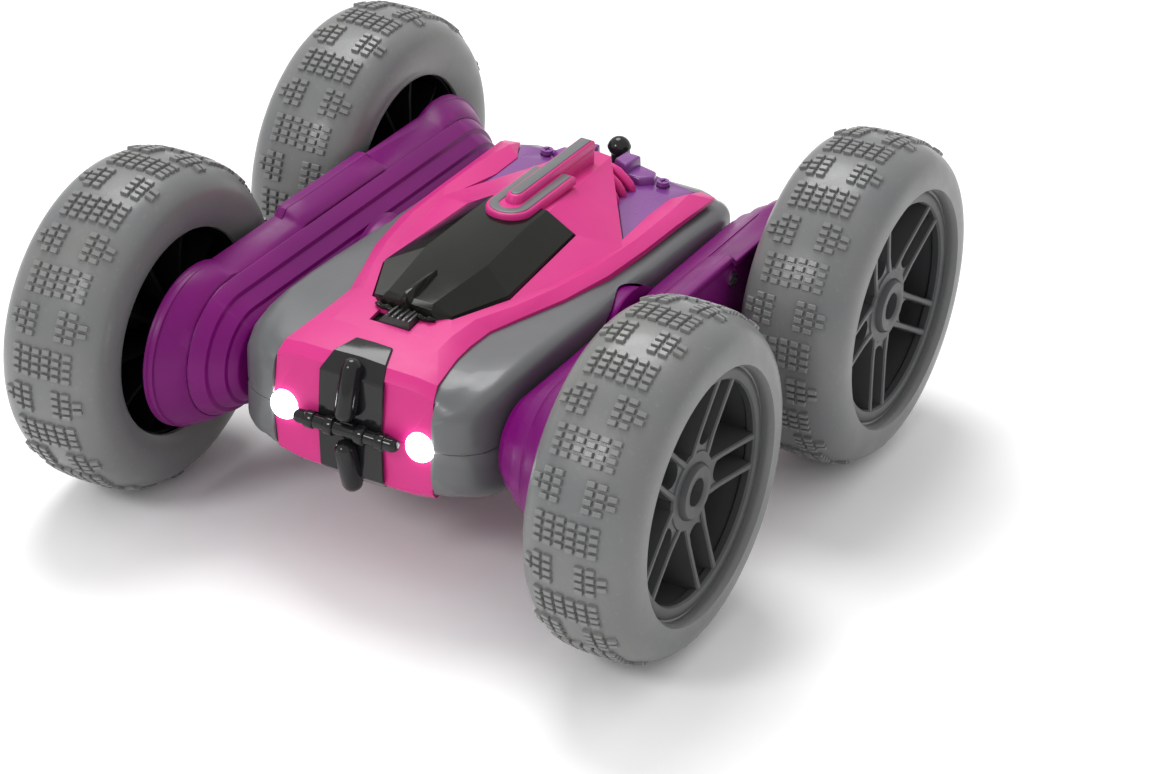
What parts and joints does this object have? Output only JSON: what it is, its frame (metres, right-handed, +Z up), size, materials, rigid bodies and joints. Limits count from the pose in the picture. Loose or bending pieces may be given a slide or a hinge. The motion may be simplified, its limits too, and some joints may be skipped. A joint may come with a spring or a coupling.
{
  "type": "rc stunt car",
  "caption": "Double-sided radio-controlled stunt car: a flat two-tone body between two swinging side arms, each with a big soft-tyred wheel at both ends.",
  "frame": {"origin": "on the ground, under the middle of the car", "axes": "-Y to the front, +X across the car along the axles, +Z up"},
  "size_m": [0.1384, 0.152, 0.068],
  "materials": {
    "tyre": "soft moulded rubber, semi-matte",
    "rim": "satin moulded plastic",
    "hub": "semi-gloss moulded plastic",
    "arm": "gloss, slightly see-through",
    "body_grey": "satin-gloss moulded plastic",
    "body_pink": "high gloss painted plastic",
    "deck": "gloss moulded plastic",
    "canopy": "high gloss smoked plastic",
    "bumper": "high gloss black plastic",
    "headlight": "clear lens, lit from behind",
    "steel": "bright steel",
    "bush": "turned brass",
    "gear": "natural nylon",
    "motor": "plated can",
    "board": "solder-masked circuit board",
    "cell": "shrink wrap",
    "switch": "moulded plastic"
  },
  "bodies": {
    "chassis": {"battery_cell": "cell", "body_screws": "steel", "circuit_board": "board", "front_bumper": "bumper", "headlights": "headlight", "hood_vents": "bumper", "lower_chassis_shell": "body_grey", "lower_hood_cover": "body_pink", "lower_rear_deck": "deck", "power_switch_body": "switch", "rear_bumper": "bumper", "upper_canopy": "canopy", "upper_chassis_shell": "body_grey", "upper_hood_cover": "body_pink", "upper_rear_deck": "deck", "upper_scoop": "body_pink"},
    "battery_door": {"battery_door": "canopy", "lower_scoop": "body_pink"},
    "power_switch": {"power_switch_knob": "switch"},
    "left_arm": {"left_arm_inner_shell": "arm", "left_arm_outer_shell": "arm", "left_axle_bushes": "bush", "left_arm_screws": "steel", "left_motor": "motor"},
    "front_left_wheel": {"front_left_tyre": "tyre", "front_left_rim": "rim", "front_left_wheel_hub": "hub", "front_left_axle": "steel", "front_left_wheel_gear": "gear"},
    "front_left_idler": {"front_left_idler_gear": "gear"},
    "front_left_compound": {"front_left_compound_gear": "gear"},
    "rear_left_wheel": {"rear_left_tyre": "tyre", "rear_left_rim": "rim", "rear_left_wheel_hub": "hub", "rear_left_axle": "steel", "rear_left_wheel_gear": "gear"},
    "rear_left_idler": {"rear_left_idler_gear": "gear"},
    "rear_left_compound": {"rear_left_compound_gear": "gear"},
    "left_motor_pinion": {"left_motor_pinion": "gear"},
    "right_arm": {"right_arm_inner_shell": "arm", "right_arm_outer_shell": "arm", "right_axle_bushes": "bush", "right_arm_screws": "steel", "right_motor": "motor"},
    "front_right_wheel": {"front_right_tyre": "tyre", "front_right_rim": "rim", "front_right_wheel_hub": "hub", "front_right_axle": "steel", "front_right_wheel_gear": "gear"},
    "front_right_idler": {"front_right_idler_gear": "gear"},
    "front_right_compound": {"front_right_compound_gear": "gear"},
    "rear_right_wheel": {"rear_right_tyre": "tyre", "rear_right_rim": "rim", "rear_right_wheel_hub": "hub", "rear_right_axle": "steel", "rear_right_wheel_gear": "gear"},
    "rear_right_idler": {"rear_right_idler_gear": "gear"},
    "rear_right_compound": {"rear_right_compound_gear": "gear"},
    "right_motor_pinion": {"right_motor_pinion": "gear"}
  },
  "joints": [
    {"name": "battery_door_hinge", "type": "hinge", "parent": "chassis", "child": "battery_door", "pos_m": [0, -0.0354, 0.019], "axis": [-1, 0, 0], "range_deg": [0, 75]},
    {"name": "power_switch_slide", "type": "slide", "parent": "chassis", "child": "power_switch", "axis": [1, 0, 0], "range_m": [0, 0.003]},
    {"name": "left_arm_swing", "type": "hinge", "parent": "chassis", "child": "left_arm", "pos_m": [0, 0, 0.034], "axis": [1, 0, 0], "range_deg": [-150, 150]},
    {"name": "front_left_wheel_spin", "type": "hinge", "parent": "left_arm", "child": "front_left_wheel", "pos_m": [0, -0.042, 0.034], "axis": [1, 0, 0], "continuous": true},
    {"name": "front_left_idler_spin", "type": "hinge", "parent": "left_arm", "child": "front_left_idler", "pos_m": [0, -0.0215, 0.034], "axis": [1, 0, 0], "continuous": true},
    {"name": "front_left_compound_spin", "type": "hinge", "parent": "left_arm", "child": "front_left_compound", "pos_m": [0, -0.0105, 0.034], "axis": [1, 0, 0], "continuous": true},
    {"name": "rear_left_wheel_spin", "type": "hinge", "parent": "left_arm", "child": "rear_left_wheel", "pos_m": [0, 0.042, 0.034], "axis": [1, 0, 0], "continuous": true},
    {"name": "rear_left_idler_spin", "type": "hinge", "parent": "left_arm", "child": "rear_left_idler", "pos_m": [0, 0.0215, 0.034], "axis": [1, 0, 0], "continuous": true},
    {"name": "rear_left_compound_spin", "type": "hinge", "parent": "left_arm", "child": "rear_left_compound", "pos_m": [0, 0.0105, 0.034], "axis": [1, 0, 0], "continuous": true},
    {"name": "left_pinion_spin", "type": "hinge", "parent": "left_arm", "child": "left_motor_pinion", "pos_m": [0, 0, 0.034], "axis": [1, 0, 0], "continuous": true},
    {"name": "right_arm_swing", "type": "hinge", "parent": "chassis", "child": "right_arm", "pos_m": [0, 0, 0.034], "axis": [1, 0, 0], "range_deg": [-150, 150]},
    {"name": "front_right_wheel_spin", "type": "hinge", "parent": "right_arm", "child": "front_right_wheel", "pos_m": [0, -0.042, 0.034], "axis": [1, 0, 0], "continuous": true},
    {"name": "front_right_idler_spin", "type": "hinge", "parent": "right_arm", "child": "front_right_idler", "pos_m": [0, -0.0215, 0.034], "axis": [1, 0, 0], "continuous": true},
    {"name": "front_right_compound_spin", "type": "hinge", "parent": "right_arm", "child": "front_right_compound", "pos_m": [0, -0.0105, 0.034], "axis": [1, 0, 0], "continuous": true},
    {"name": "rear_right_wheel_spin", "type": "hinge", "parent": "right_arm", "child": "rear_right_wheel", "pos_m": [0, 0.042, 0.034], "axis": [1, 0, 0], "continuous": true},
    {"name": "rear_right_idler_spin", "type": "hinge", "parent": "right_arm", "child": "rear_right_idler", "pos_m": [0, 0.0215, 0.034], "axis": [1, 0, 0], "continuous": true},
    {"name": "rear_right_compound_spin", "type": "hinge", "parent": "right_arm", "child": "rear_right_compound", "pos_m": [0, 0.0105, 0.034], "axis": [1, 0, 0], "continuous": true},
    {"name": "right_pinion_spin", "type": "hinge", "parent": "right_arm", "child": "right_motor_pinion", "pos_m": [0, 0, 0.034], "axis": [1, 0, 0], "continuous": true}
  ],
  "couplings": [
    {"joint": "front_left_idler_spin", "follows": "front_left_wheel_spin", "ratio": -1.5625},
    {"joint": "front_left_compound_spin", "follows": "front_left_wheel_spin", "ratio": 4.1667},
    {"joint": "rear_left_wheel_spin", "follows": "front_left_wheel_spin", "ratio": 1},
    {"joint": "rear_left_idler_spin", "follows": "front_left_wheel_spin", "ratio": -1.5625},
    {"joint": "rear_left_compound_spin", "follows": "front_left_wheel_spin", "ratio": 4.1667},
    {"joint": "left_pinion_spin", "follows": "front_left_wheel_spin", "ratio": -13.333},
    {"joint": "front_right_idler_spin", "follows": "front_right_wheel_spin", "ratio": -1.5625},
    {"joint": "front_right_compound_spin", "follows": "front_right_wheel_spin", "ratio": 4.1667},
    {"joint": "rear_right_wheel_spin", "follows": "front_right_wheel_spin", "ratio": 1},
    {"joint": "rear_right_idler_spin", "follows": "front_right_wheel_spin", "ratio": -1.5625},
    {"joint": "rear_right_compound_spin", "follows": "front_right_wheel_spin", "ratio": 4.1667},
    {"joint": "right_pinion_spin", "follows": "front_right_wheel_spin", "ratio": -13.333}
  ]
}
